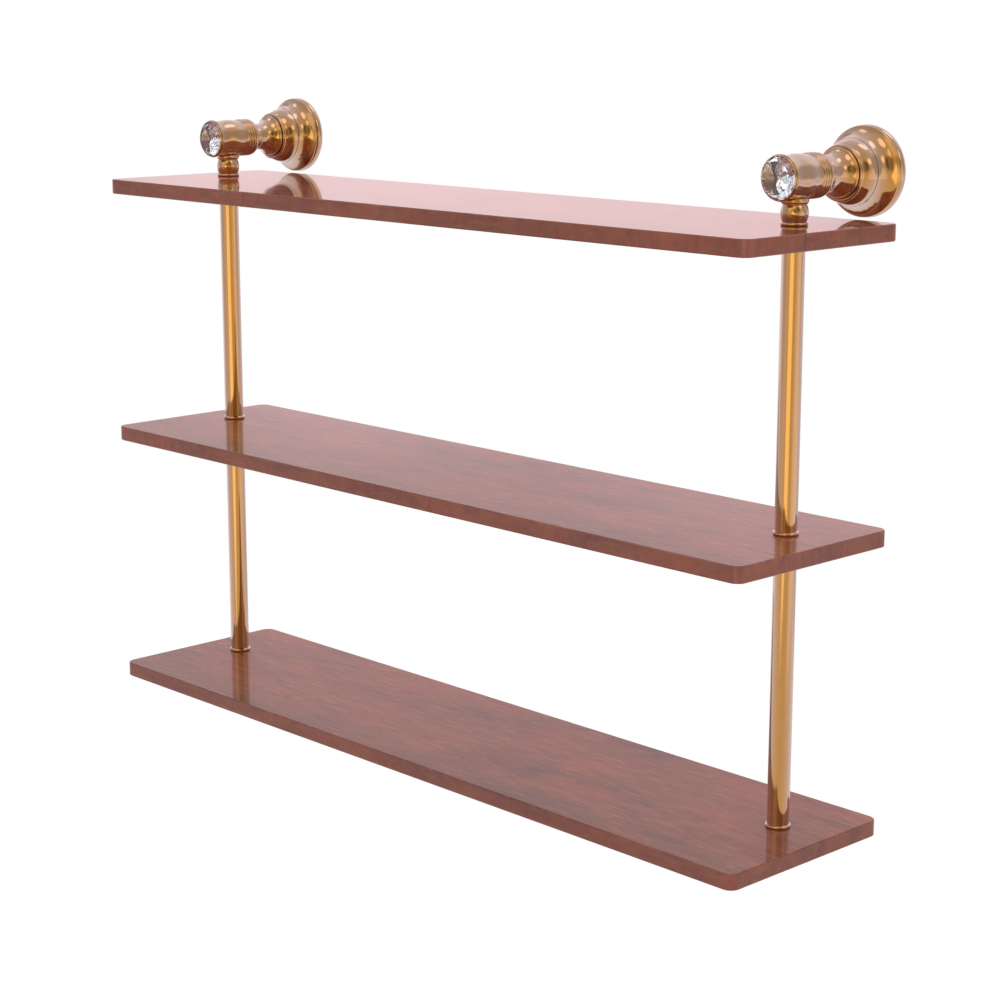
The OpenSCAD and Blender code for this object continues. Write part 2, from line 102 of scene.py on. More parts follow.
# the room round the shelf, as patches: azimuth from the front towards the right end and elevation in
# degrees, the patch's even core and its faded reach in degrees, and its brightness
ROOM = (
    (180, 5, 35, 60, 0.7),
    (-120, 5, 25, 45, 0.78),
    (170, -35, 12, 35, 0.45),
    (110, -20, 20, 38, 0.88),
    (-105, -20, 20, 45, 0.8),
    (138, 16, 16, 32, 0.4),
    (-45, 22, 20, 42, 0.43),
    (4, 22, 12, 22, 0.84),
    (-95, 25, 6, 14, 0.34),
    (-131, 3, 4, 9.5, 1.12),
    (-142, 3, 4, 12.5, 1.1),
    (30, -8, 10, 24, 1.45),
    (68, 21, 9, 20, 0.16),
    (47, 16, 10, 22, 0.34),
    (42, 12, 5, 11, 0.25),
    (14, 11, 4, 8, 0.42),
    (36, 34, 5, 10, 1.3),
    (22, 59, 9, 15, 1.4),
    (95, 34, 7, 12, 1.3),
    (-68, 51, 5, 9, 1.25),
    (170, 65, 9, 15, 1.35),
)


def linear(hex_colour, tone=1.0):
    """An sRGB hex colour such as #c9a064 as linear RGBA, at a share of its light."""
    channels = [int(hex_colour[i:i + 2], 16) / 255 for i in (1, 3, 5)]
    lights = [c / 12.92 if c <= 0.04045 else ((c + 0.055) / 1.055) ** 2.4 for c in channels]
    return [light * tone for light in lights] + [1.0]


def add_node(tree, kind, inputs=None, links=None, **settings):
    """Adds a node with its own settings, the values of its sockets and the outputs that feed them."""
    node = tree.nodes.new(kind)
    for name, value in settings.items():
        setattr(node, name, value)
    for name, value in (inputs or {}).items():
        node.inputs[name].default_value = value
    for name, source in (links or {}).items():
        tree.links.new(source, node.inputs[name])
    return node


def set_stops(ramp, stops):
    """Gives a colour ramp its stops: (position, linear colour) pairs."""
    elements = ramp.color_ramp.elements
    while len(elements) < len(stops):
        elements.new(1.0)
    for element, (position, colour) in zip(elements, stops):
        element.position = position
        element.color = colour


def new_material(name):
    """An empty node material with its output node."""
    material = bpy.data.materials.new(name)
    material.use_nodes = True
    material.node_tree.nodes.clear()
    return material, add_node(material.node_tree, "ShaderNodeOutputMaterial")


def finish_node(name, material):
    """Gives a CAD node its finish."""
    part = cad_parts[name]
    part.data.materials.clear()
    part.data.materials.append(material)


class WoodFinish(bpy.types.PropertyGroup):
    """Colours and grain of the varnished boards."""

    light: bpy.props.StringProperty(
        name="Light wood", description="Colour of the lighter red-brown wood", default="#ba6448")
    dark: bpy.props.StringProperty(
        name="Dark wood", description="Colour of the grey-brown figure", default="#734339")
    ruddy: bpy.props.StringProperty(
        name="Ruddy wood", description="Colour of the red blotches", default="#bf553f")
    pale: bpy.props.StringProperty(
        name="Pale strands", description="Colour of the fine golden strands", default="#d09065")
    strip: bpy.props.StringProperty(
        name="Front strip", description="Colour of the greyer strip along the front", default="#75503f")
    pore: bpy.props.StringProperty(
        name="Flecks", description="Colour of the small dark flecks", default="#4a2d20")
    edge_wood: bpy.props.StringProperty(
        name="Edge wood", description="Colour that evens out the figure on the boards' edges",
        default="#a85843")
    edge_tint: bpy.props.StringProperty(
        name="Edge tint", description="Tint of the boards' edges beside their flat faces",
        default="#ecf8fb")
    figure_width: bpy.props.FloatProperty(
        name="Figure width", description="Width of one broad band of figure across the grain",
        default=0.026, unit="LENGTH")
    grain_width: bpy.props.FloatProperty(
        name="Grain width", description="Width of one fine streak across the grain",
        default=0.0022, unit="LENGTH")
    varnish_roughness: bpy.props.FloatProperty(
        name="Varnish roughness", description="Roughness of the varnish", default=0.05, subtype="FACTOR")


class BrassFinish(bpy.types.PropertyGroup):
    """Colours and polish of the lacquered brass."""

    metal: bpy.props.StringProperty(
        name="Brass", description="Colour of the polished metal seen head on", default="#deab56")
    lacquer: bpy.props.StringProperty(
        name="Lacquer", description="Colour of the gloss on the lacquer seen edge on", default="#f9f2ea")
    # the colour of the painted shade that the metal and the lacquer's gloss take on in the creases
    painted_shade: bpy.props.StringProperty(
        name="Toned brass", description="Colour of the metal left in the creases", default="#6e3f1a")
    roughness: bpy.props.FloatProperty(
        name="Roughness", description="Roughness of the polished metal", default=0.09, subtype="FACTOR")
    # a polishing wheel leaves far finer lines, which are drawn this coarse so that they show
    line_spacing: bpy.props.FloatProperty(
        name="Polishing lines", description="Distance between the lines left by the polishing wheel",
        default=0.0006, unit="LENGTH")


class SteelFinish(bpy.types.PropertyGroup):
    """Colours and grain of the zinc-plated steel."""

    light: bpy.props.StringProperty(
        name="Light zinc", description="Colour of the middle of a spangle", default="#a3a6a8")
    dark: bpy.props.StringProperty(
        name="Dark zinc", description="Colour between the spangles", default="#85888c")
    spangle: bpy.props.FloatProperty(
        name="Spangle", description="Width of one spangle", default=0.002, unit="LENGTH")


class CrystalCut(bpy.types.PropertyGroup):
    """Glass and proportions of the brilliant-cut crystals."""

    glass: bpy.props.StringProperty(
        name="Glass", description="Colour of the clear glass", default="#fdfdff")
    facets: bpy.props.IntProperty(
        name="Main facets", description="Number of main facets round the crown and round the point",
        default=20, min=6, max=24)
    table_share: bpy.props.FloatProperty(
        name="Table", description="Table's diameter across its corners, as a share of the girdle's",
        default=0.788, subtype="FACTOR")
    crown_share: bpy.props.FloatProperty(
        name="Crown corners", description="Place of the crown's middle corners between table and girdle",
        default=0.35, subtype="FACTOR")
    pavilion_share: bpy.props.FloatProperty(
        name="Pavilion corners", description="Radius of the pavilion's corners as a share of the girdle's",
        default=0.2, subtype="FACTOR")
    girdle: bpy.props.FloatProperty(
        name="Girdle", description="Thickness of the girdle", default=0.0003, unit="LENGTH")
    crown: bpy.props.FloatProperty(
        name="Crown height", description="Height of the crown over the girdle",
        default=0.0028, unit="LENGTH")
    arris: bpy.props.FloatProperty(
        name="Arris", description="Width of the polished edge between two facets",
        default=0.00004, unit="LENGTH")
    arris_angle: bpy.props.FloatProperty(
        name="Arris angle", description="Angle between two facets from which their edge is polished",
        default=math.radians(7), subtype="ANGLE")


class StudioSet(bpy.types.PropertyGroup):
    """Floor, lamps and surround of the studio."""

    floor_drop: bpy.props.FloatProperty(
        name="Floor", description="Height of the brackets' axis above the floor",
        default=2.0, unit="LENGTH")
    floor_size: bpy.props.FloatProperty(
        name="Floor size", description="Width of the floor", default=12.0, unit="LENGTH")
    floor_paint: bpy.props.StringProperty(
        name="Floor paint", description="Colour of the floor's paint", default="#f6f6f6")
    floor_wear: bpy.props.StringProperty(
        name="Floor wear", description="Colour of the floor where the paint is worn", default="#f2f2f2")
    floor_lift: bpy.props.FloatProperty(
        name="Floor lift", description="Light added to the floor that is seen directly", default=0.45)
    room_light: bpy.props.FloatProperty(
        name="Room light", description="Strength of the soft light from all round", default=0.62)
    lamp_light: bpy.props.FloatProperty(
        name="Lamps", description="Brightness of the soft boxes' faces", default=3.0)
    lamp_width: bpy.props.FloatProperty(
        name="Lamp width", description="Width of each soft box", default=1.0, unit="LENGTH")
    lamp_distance: bpy.props.FloatProperty(
        name="Lamp distance", description="Distance of each soft box from the shelf",
        default=2.4, unit="LENGTH")
    upper_wall: bpy.props.FloatProperty(
        name="Upper walls", description="Brightness of the room above the shelf in a mirror",
        default=0.55)
    lower_wall: bpy.props.FloatProperty(
        name="Lower walls", description="Brightness of the room below the shelf in a mirror",
        default=0.68)
    wall_tint: bpy.props.StringProperty(
        name="Wall tint", description="Colour of the room in a mirror", default="#ffedf0")
    rear_tint: bpy.props.StringProperty(
        name="Rear tint", description="Colour of the wall behind the left end in a mirror",
        default="#ffe2e5")
    glass_gain: bpy.props.FloatProperty(
        name="Glass gain", description="Brightness of the room in cut glass beside that in a mirror",
        default=2.2)
    glass_tint: bpy.props.StringProperty(
        name="Glass tint", description="Colour of the room through cut glass", default="#ecf3ff")


def varnished_cherry(finish, front):
    """Cherry boards, planed, stained red-brown and sprayed with gloss varnish: soft ruddy blotches in a
    greyer brown, short lengthwise strands and plainer cross-grained edges, under a clear mirroring film."""
    material, output = new_material("varnished_cherry")
    tree = material.node_tree
    place = add_node(tree, "ShaderNodeTexCoord").outputs["Object"]
    depth = add_node(tree, "ShaderNodeSeparateXYZ", links={"Vector": place}).outputs["Y"]
    facing = add_node(tree, "ShaderNodeNewGeometry").outputs["Normal"]
    upward = add_node(tree, "ShaderNodeSeparateXYZ", links={"Vector": facing}).outputs["Z"]
    flat_share = add_node(
        tree, "ShaderNodeMath", links={0: upward}, operation="ABSOLUTE").outputs["Value"]
    # each pattern is drawn out along the boards by its own factor, and the edges' cross grain upwards
    figure_at = add_node(
        tree, "ShaderNodeMapping", {"Scale": (1 / 3.5, 1, 1)}, {"Vector": place}).outputs["Vector"]
    blotch_at = add_node(
        tree, "ShaderNodeMapping", {"Scale": (0.6, 1, 1), "Location": (1, 0, 0)},
        {"Vector": place}).outputs["Vector"]
    strand_at = add_node(
        tree, "ShaderNodeMapping", {"Scale": (1 / 9, 1, 1)}, {"Vector": place}).outputs["Vector"]
    edge_at = add_node(
        tree, "ShaderNodeMapping", {"Scale": (1, 1, 1 / 2)}, {"Vector": place}).outputs["Vector"]
    figure = add_node(
        tree, "ShaderNodeTexNoise",
        {"Scale": 1 / finish.figure_width, "Detail": 4, "Roughness": 0.55, "Distortion": 0.8},
        {"Vector": figure_at}).outputs["Fac"]
    blotch = add_node(
        tree, "ShaderNodeTexNoise",
        {"Scale": 0.65 / finish.figure_width, "Detail": 5, "Roughness": 0.6, "Distortion": 0.5},
        {"Vector": blotch_at}).outputs["Fac"]
    strands = add_node(
        tree, "ShaderNodeTexNoise",
        {"Scale": 1 / finish.grain_width, "Detail": 4, "Roughness": 0.65, "Distortion": 1.0},
        {"Vector": strand_at}).outputs["Fac"]
    flecks = add_node(
        tree, "ShaderNodeTexNoise",
        {"Scale": 0.35 / finish.grain_width, "Detail": 2, "Roughness": 0.5, "Distortion": 0.3},
        {"Vector": figure_at}).outputs["Fac"]
    cross = add_node(
        tree, "ShaderNodeTexNoise",
        {"Scale": 0.35 / finish.grain_width, "Detail": 4, "Roughness": 0.65, "Distortion": 1.2},
        {"Vector": edge_at}).outputs["Fac"]

    # stained wood: brown figure with ruddy blotches over it
    brown = add_node(tree, "ShaderNodeValToRGB", links={"Fac": figure})
    set_stops(brown, [(0.32, linear(finish.dark)), (0.68, linear(finish.light))])
    ruddy_share = add_node(
        tree, "ShaderNodeMapRange",
        {"From Min": 0.42, "From Max": 0.68, "To Min": 0.0, "To Max": 0.6},
        {"Value": blotch}).outputs["Result"]
    ruddy = add_node(
        tree, "ShaderNodeMix", {"B": linear(finish.ruddy)},
        {"Factor": ruddy_share, "A": brown.outputs["Color"]}, data_type="RGBA")
    # a greyer strip along the front of the flat faces, with an inner edge that the figure makes wander
    wander = add_node(
        tree, "ShaderNodeMath", {1: 40 * MM}, {0: figure, 2: depth},
        operation="MULTIPLY_ADD").outputs["Value"]
    near_front = add_node(
        tree, "ShaderNodeMapRange",
        {"From Min": front + 57 * MM, "From Max": front + 34 * MM, "To Min": 0.0, "To Max": 0.5},
        {"Value": wander}).outputs["Result"]
    strip_share = add_node(
        tree, "ShaderNodeMath", links={0: near_front, 1: flat_share},
        operation="MULTIPLY").outputs["Value"]
    stripped = add_node(
        tree, "ShaderNodeMix", {"B": linear(finish.strip)},
        {"Factor": strip_share, "A": ruddy.outputs["Result"]}, data_type="RGBA")
    # small dark flecks and fine golden strands
    fleck_share = add_node(
        tree, "ShaderNodeMapRange",
        {"From Min": 0.6, "From Max": 0.72, "To Min": 0.0, "To Max": 0.3},
        {"Value": flecks}).outputs["Result"]
    flecked = add_node(
        tree, "ShaderNodeMix", {"B": linear(finish.pore)},
        {"Factor": fleck_share, "A": stripped.outputs["Result"]}, data_type="RGBA")
    pale_share = add_node(
        tree, "ShaderNodeMapRange",
        {"From Min": 0.52, "From Max": 0.72, "To Min": 0.0, "To Max": 0.42},
        {"Value": strands}).outputs["Result"]
    stranded = add_node(
        tree, "ShaderNodeMix", {"B": linear(finish.pale)},
        {"Factor": pale_share, "A": flecked.outputs["Result"]}, data_type="RGBA")
    # the edges show less figure
    even_share = add_node(
        tree, "ShaderNodeMapRange", {"To Min": 0.45, "To Max": 0.0},
        {"Value": flat_share}).outputs["Result"]
    evened = add_node(
        tree, "ShaderNodeMix", {"B": linear(finish.edge_wood)},
        {"Factor": even_share, "A": stranded.outputs["Result"]}, data_type="RGBA")
    # light and dark: strands on the flat faces, cross grain on the edges
    strand_shade = add_node(
        tree, "ShaderNodeMapRange",
        {"From Min": 0.3, "From Max": 0.7, "To Min": 0.69, "To Max": 1.0},
        {"Value": strands}).outputs["Result"]
    cross_shade = add_node(tree, "ShaderNodeValToRGB", links={"Fac": cross})
    set_stops(cross_shade, [
        (at, linear(finish.edge_tint, tone))
        for at, tone in ((0.24, 0.55), (0.38, 0.78), (0.5, 0.86), (0.75, 0.98))])
    shade = add_node(
        tree, "ShaderNodeMix",
        links={"Factor": flat_share, "A": cross_shade.outputs["Color"], "B": strand_shade},
        data_type="RGBA")
    wood = add_node(
        tree, "ShaderNodeMix", {"Factor": 1.0},
        {"A": evened.outputs["Result"], "B": shade.outputs["Result"]},
        data_type="RGBA", blend_type="MULTIPLY")

    # raised grain under the varnish, and slow waves about 17 mm long in the varnish itself
    grain_relief = add_node(
        tree, "ShaderNodeBump", {"Strength": 0.15, "Distance": 0.02 * MM},
        {"Height": strands}).outputs["Normal"]
    flow = add_node(
        tree, "ShaderNodeTexNoise", {"Scale": 60, "Detail": 1}, {"Vector": place}).outputs["Fac"]
    film_relief = add_node(
        tree, "ShaderNodeBump", {"Strength": 0.12, "Distance": 0.05 * MM},
        {"Height": flow}).outputs["Normal"]
    shader = add_node(
        tree, "ShaderNodeBsdfPrincipled",
        {"Roughness": 0.45, "Specular IOR Level": 0.2, "Coat Weight": 1.0, "Coat IOR": 1.45,
         "Coat Roughness": finish.varnish_roughness},
        {"Base Color": wood.outputs["Result"], "Normal": grain_relief, "Coat Normal": film_relief})
    tree.links.new(shader.outputs["BSDF"], output.inputs["Surface"])
    return material


def lacquered_brass(name, finish, turned_about):
    """Brass turned on a lathe, polished and clear lacquered: a deep gold mirror that pales to the gloss of
    the lacquer towards its outlines, with painted shade that browns the metal and its gloss in the creases,
    and faint lines round the axis."""
    material, output = new_material(name)
    tree = material.node_tree
    place = add_node(tree, "ShaderNodeTexCoord").outputs["Object"]
    # smudges about 8 mm wide
    smudge = add_node(
        tree, "ShaderNodeTexNoise", {"Scale": 120, "Detail": 4, "Roughness": 0.6, "Distortion": 0.4},
        {"Vector": place}).outputs["Fac"]
    lines_at = add_node(
        tree, "ShaderNodeMapping",
        {"Scale": (0.02, 1, 0.02) if turned_about == "Y" else (0.02, 0.02, 1)},
        {"Vector": place}).outputs["Vector"]
    lines = add_node(
        tree, "ShaderNodeTexNoise", {"Scale": 1 / finish.line_spacing, "Detail": 2, "Roughness": 0.6},
        {"Vector": lines_at}).outputs["Fac"]
    # painted shade: where ambient occlusion within about a millimetre finds a crease, as between the beads,
    # the metal and the lacquer's gloss are browned
    crease = add_node(
        tree, "ShaderNodeAmbientOcclusion", {"Distance": 0.9 * MM}, samples=8, only_local=True).outputs["AO"]
    painted_crease_shade = add_node(
        tree, "ShaderNodeMapRange",
        {"From Min": 0.4, "From Max": 0.9, "To Min": 0.8, "To Max": 0.0},
        {"Value": crease}).outputs["Result"]
    polished = add_node(tree, "ShaderNodeValToRGB", links={"Fac": smudge})
    set_stops(polished, [(0.3, linear(finish.metal, 0.95)), (0.7, linear(finish.metal))])
    # the metal and its gloss, each darkened towards the painted shade in the creases
    metal_colour = add_node(
        tree, "ShaderNodeMix", {"B": linear(finish.painted_shade)},
        {"Factor": painted_crease_shade, "A": polished.outputs["Color"]}, data_type="RGBA")
    gloss_colour = add_node(
        tree, "ShaderNodeMix", {"A": linear(finish.lacquer), "B": linear(finish.painted_shade)},
        {"Factor": painted_crease_shade}, data_type="RGBA")
    roughness = add_node(
        tree, "ShaderNodeMapRange",
        {"From Min": 0.3, "From Max": 0.7, "To Min": finish.roughness * 0.85,
         "To Max": finish.roughness * 1.2},
        {"Value": smudge}).outputs["Result"]
    relief = add_node(
        tree, "ShaderNodeBump", {"Strength": 0.08, "Distance": 0.01 * MM},
        {"Height": lines}).outputs["Normal"]
    metal = add_node(
        tree, "ShaderNodeBsdfPrincipled", {"Metallic": 1.0},
        {"Base Color": metal_colour.outputs["Result"], "Roughness": roughness, "Normal": relief})
    gloss = add_node(
        tree, "ShaderNodeBsdfPrincipled", {"Metallic": 1.0},
        {"Base Color": gloss_colour.outputs["Result"], "Roughness": roughness, "Normal": relief})
    # how much of the lacquer's gloss covers the metal, from head on to edge on
    edge_on = add_node(tree, "ShaderNodeLayerWeight", {"Blend": 0.5}).outputs["Facing"]
    gloss_share = add_node(tree, "ShaderNodeValToRGB", links={"Fac": edge_on})
    set_stops(gloss_share, [
        (at, [share, share, share, 1]) for at, share in
        ((0.02, 0.0), (0.08, 0.1), (0.23, 0.26), (0.41, 0.51), (0.56, 0.71), (0.75, 0.92), (1.0, 1.0))])
    shader = add_node(
        tree, "ShaderNodeMixShader",
        links={"Fac": gloss_share.outputs["Color"], 1: metal.outputs["BSDF"], 2: gloss.outputs["BSDF"]})
    tree.links.new(shader.outputs["Shader"], output.inputs["Surface"])
    return material


def zinc_plated_steel(finish):
    """Rolled and machined steel, zinc plated: a cool grey satin with a faint mottled spangle."""
    material, output = new_material("zinc_plated_steel")
    tree = material.node_tree
    place = add_node(tree, "ShaderNodeTexCoord").outputs["Object"]
    spangle = add_node(
        tree, "ShaderNodeTexVoronoi", {"Scale": 1 / finish.spangle, "Randomness": 1.0},
        {"Vector": place}).outputs["Distance"]
    # scuffs about 3 mm wide
    scuff = add_node(
        tree, "ShaderNodeTexNoise", {"Scale": 300, "Detail": 4, "Roughness": 0.6},
        {"Vector": place}).outputs["Fac"]
    colour = add_node(tree, "ShaderNodeValToRGB", links={"Fac": spangle})
    set_stops(colour, [(0.0, linear(finish.light)), (0.8, linear(finish.dark))])
    roughness = add_node(
        tree, "ShaderNodeMapRange",
        {"From Min": 0.3, "From Max": 0.7, "To Min": 0.28, "To Max": 0.42},
        {"Value": scuff}).outputs["Result"]
    relief = add_node(
        tree, "ShaderNodeBump", {"Strength": 0.2, "Distance": 0.02 * MM},
        {"Height": scuff}).outputs["Normal"]
    shader = add_node(
        tree, "ShaderNodeBsdfPrincipled", {"Metallic": 1.0},
        {"Base Color": colour.outputs["Color"], "Roughness": roughness, "Normal": relief})
    tree.links.new(shader.outputs["BSDF"], output.inputs["Surface"])
    return material


def lead_crystal(cutting, girdle_y):
    """Cut and polished lead crystal with a ground girdle: clear facets that flash white beside the gold of
    the cup seen through them, a bright gloss over them, and a narrow frosted band round the widest place."""
    material, output = new_material("lead_crystal")
    tree = material.node_tree
    place = add_node(tree, "ShaderNodeTexCoord").outputs["Object"]
    depth = add_node(tree, "ShaderNodeSeparateXYZ", links={"Vector": place}).outputs["Y"]
    half_girdle = cutting.girdle / 2
    behind = add_node(
        tree, "ShaderNodeMath", {1: girdle_y + half_girdle}, {0: depth},
        operation="SUBTRACT").outputs["Value"]
    off_middle = add_node(
        tree, "ShaderNodeMath", links={0: behind}, operation="ABSOLUTE").outputs["Value"]
    ground = add_node(
        tree, "ShaderNodeMath", {1: half_girdle}, {0: off_middle}, operation="LESS_THAN").outputs["Value"]
    # ground glass is finer than this quarter of a millimetre, which is as coarse as it needs to show
    frost = add_node(
        tree, "ShaderNodeTexNoise", {"Scale": 1 / (0.25 * MM), "Detail": 2}, {"Vector": place}).outputs["Fac"]
    roughness = add_node(
        tree, "ShaderNodeMapRange", {"To Min": 0.0, "To Max": 0.35}, {"Value": ground}).outputs["Result"]
    relief = add_node(
        tree, "ShaderNodeBump", {"Distance": 0.01 * MM},
        {"Height": frost, "Strength": ground}).outputs["Normal"]
    shader = add_node(
        tree, "ShaderNodeBsdfPrincipled",
        {"Base Color": linear(cutting.glass), "Transmission Weight": 1.0, "IOR": 1.75,
         "Coat Weight": 1.0, "Coat IOR": 2.2, "Coat Roughness": 0.0},
        {"Roughness": roughness, "Normal": relief})
    tree.links.new(shader.outputs["BSDF"], output.inputs["Surface"])
    return material


def pale_floor(studio):
    """Matt white paint on a studio floor: pure white wherever no shadow falls, and the lower part of the
    room in a mirror."""
    material, output = new_material("pale_floor")
    tree = material.node_tree
    place = add_node(tree, "ShaderNodeTexCoord").outputs["Object"]
    # worn patches about a third of a metre wide
    mottle = add_node(
        tree, "ShaderNodeTexNoise", {"Scale": 3, "Detail": 3}, {"Vector": place}).outputs["Fac"]
    colour = add_node(tree, "ShaderNodeValToRGB", links={"Fac": mottle})
    set_stops(colour, [(0.3, linear(studio.floor_wear)), (0.7, linear(studio.floor_paint))])
    matt = add_node(
        tree, "ShaderNodeBsdfDiffuse", {"Roughness": 0.5}, {"Color": colour.outputs["Color"]})
    path = add_node(tree, "ShaderNodeLightPath")
    lift = add_node(tree, "ShaderNodeEmission", {"Strength": studio.floor_lift})
    lifted = add_node(tree, "ShaderNodeAddShader", links={0: matt.outputs[0], 1: lift.outputs[0]})
    mirrored = add_node(
        tree, "ShaderNodeEmission", {"Color": linear(studio.wall_tint), "Strength": studio.lower_wall})
    lit = add_node(
        tree, "ShaderNodeMixShader",
        links={"Fac": path.outputs["Is Glossy Ray"], 1: matt.outputs[0], 2: mirrored.outputs[0]})
    shown = add_node(
        tree, "ShaderNodeMixShader",
        links={"Fac": path.outputs["Is Camera Ray"], 1: lit.outputs[0], 2: lifted.outputs[0]})
    tree.links.new(shown.outputs[0], output.inputs["Surface"])
    return material


def studio_surround(studio):
    """The studio round the shelf: an even soft light, which mirrors and cut glass see as the room that it
    comes from, with pale walls, bright panels and darker gaps, and which shows as plain white by itself."""
    world = bpy.data.worlds.new("studio_surround")
    world.use_nodes = True
    tree = world.node_tree
    tree.nodes.clear()
    toward = add_node(tree, "ShaderNodeTexCoord").outputs["Generated"]
    height = add_node(tree, "ShaderNodeSeparateXYZ", links={"Vector": toward}).outputs["Z"]
    level = add_node(
        tree, "ShaderNodeMapRange",
        {"From Min": -0.1, "From Max": 0.05, "To Min": studio.lower_wall, "To Max": studio.upper_wall},
        {"Value": height}).outputs["Result"]
    for azimuth, elevation, core, reach, patch in ROOM:
        bearing, rise = math.radians(azimuth), math.radians(elevation)
        middle = (
            math.sin(bearing) * math.cos(rise), -math.cos(bearing) * math.cos(rise), math.sin(rise))
        nearness = add_node(
            tree, "ShaderNodeVectorMath", {1: middle}, {0: toward},
            operation="DOT_PRODUCT").outputs["Value"]
        share = add_node(
            tree, "ShaderNodeMapRange",
            {"From Min": math.cos(math.radians(reach)), "From Max": math.cos(math.radians(core))},
            {"Value": nearness}, interpolation_type="SMOOTHSTEP").outputs["Result"]
        level = add_node(
            tree, "ShaderNodeMix", {"B": patch}, {"Factor": share, "A": level}).outputs["Result"]
    rear = add_node(
        tree, "ShaderNodeVectorMath", {1: REAR_WALL}, {0: toward}, operation="DOT_PRODUCT").outputs["Value"]
    rear_share = add_node(
        tree, "ShaderNodeMapRange", {"From Min": REAR_REACH, "From Max": REAR_CORE}, {"Value": rear},
        interpolation_type="SMOOTHSTEP").outputs["Result"]
    walls = add_node(
        tree, "ShaderNodeMix", {"A": linear(studio.wall_tint), "B": linear(studio.rear_tint)},
        {"Factor": rear_share}, data_type="RGBA").outputs["Result"]
    path = add_node(tree, "ShaderNodeLightPath")
    through_glass = path.outputs["Is Transmission Ray"]
    tint = add_node(
        tree, "ShaderNodeMix", {"B": linear(studio.glass_tint)},
        {"Factor": through_glass, "A": walls}, data_type="RGBA").outputs["Result"]
    gain = add_node(
        tree, "ShaderNodeMath", {1: studio.glass_gain - 1, 2: 1.0}, {0: through_glass},
        operation="MULTIPLY_ADD").outputs["Value"]
    strength = add_node(
        tree, "ShaderNodeMath", links={0: level, 1: gain}, operation="MULTIPLY").outputs["Value"]
    sees_room = add_node(
        tree, "ShaderNodeMath", links={0: path.outputs["Is Glossy Ray"], 1: through_glass},
        operation="MAXIMUM").outputs["Value"]
    white = (1, 1, 1, 1)
    even = add_node(tree, "ShaderNodeBackground", {"Strength": studio.room_light, "Color": white})
    room = add_node(tree, "ShaderNodeBackground", links={"Strength": strength, "Color": tint})
    backdrop = add_node(tree, "ShaderNodeBackground", {"Strength": 1.0, "Color": white})
    lit = add_node(
        tree, "ShaderNodeMixShader", links={"Fac": sees_room, 1: even.outputs[0], 2: room.outputs[0]})
    shown = add_node(
        tree, "ShaderNodeMixShader",
        links={"Fac": path.outputs["Is Camera Ray"], 1: lit.outputs[0], 2: backdrop.outputs[0]})
    add_node(tree, "ShaderNodeOutputWorld", links={"Surface": shown.outputs[0]})
    return world


class SHELF_OT_finish_boards(bpy.types.Operator):
    """Give the three boards their varnished wood"""

    bl_idname = "shelf.finish_boards"
    bl_label = "Varnish the boards"

    def execute(self, context):
        wood = varnished_cherry(context.scene.shelf_wood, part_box("top_board")[0].y)
        for board in BOARDS:
            finish_node(board, wood)
        return {"FINISHED"}


class SHELF_OT_finish_brass(bpy.types.Operator):
    """Give the turned parts their lacquered brass"""

    bl_idname = "shelf.finish_brass"
    bl_label = "Lacquer the brass"

    def execute(self, context):
        finish = context.scene.shelf_brass
        across = lacquered_brass("lacquered_brass_bracket", finish, "Y")
        upright = lacquered_brass("lacquered_brass_rod", finish, "Z")
        for side in SIDES:
            for part in BRACKET_PARTS:
                finish_node(f"{side}_{part}", across)
            for part in ROD_PARTS:
                finish_node(f"{side}_{part}", upright)
        return {"FINISHED"}


class SHELF_OT_finish_steel(bpy.types.Operator):
    """Give the plates, studs and hidden screws their zinc plating"""

    bl_idname = "shelf.finish_steel"
    bl_label = "Plate the steel"

    def execute(self, context):
        steel = zinc_plated_steel(context.scene.shelf_steel)
        for side in SIDES:
            for part in STEEL_PARTS:
                finish_node(f"{side}_{part}", steel)
        return {"FINISHED"}


def cut_facet(a, b, c, inside):
    """Cuts away all that lies beyond the plane through three corners, as seen from an inner point, and
    closes the cut with one flat facet."""
    normal = (b - a).cross(c - a).normalized()
    bpy.ops.mesh.select_all(action="SELECT")
    bpy.ops.mesh.bisect(
        plane_co=a, plane_no=normal if normal.dot(inside - a) < 0 else -normal,
        use_fill=True, clear_outer=True, threshold=SNAP)


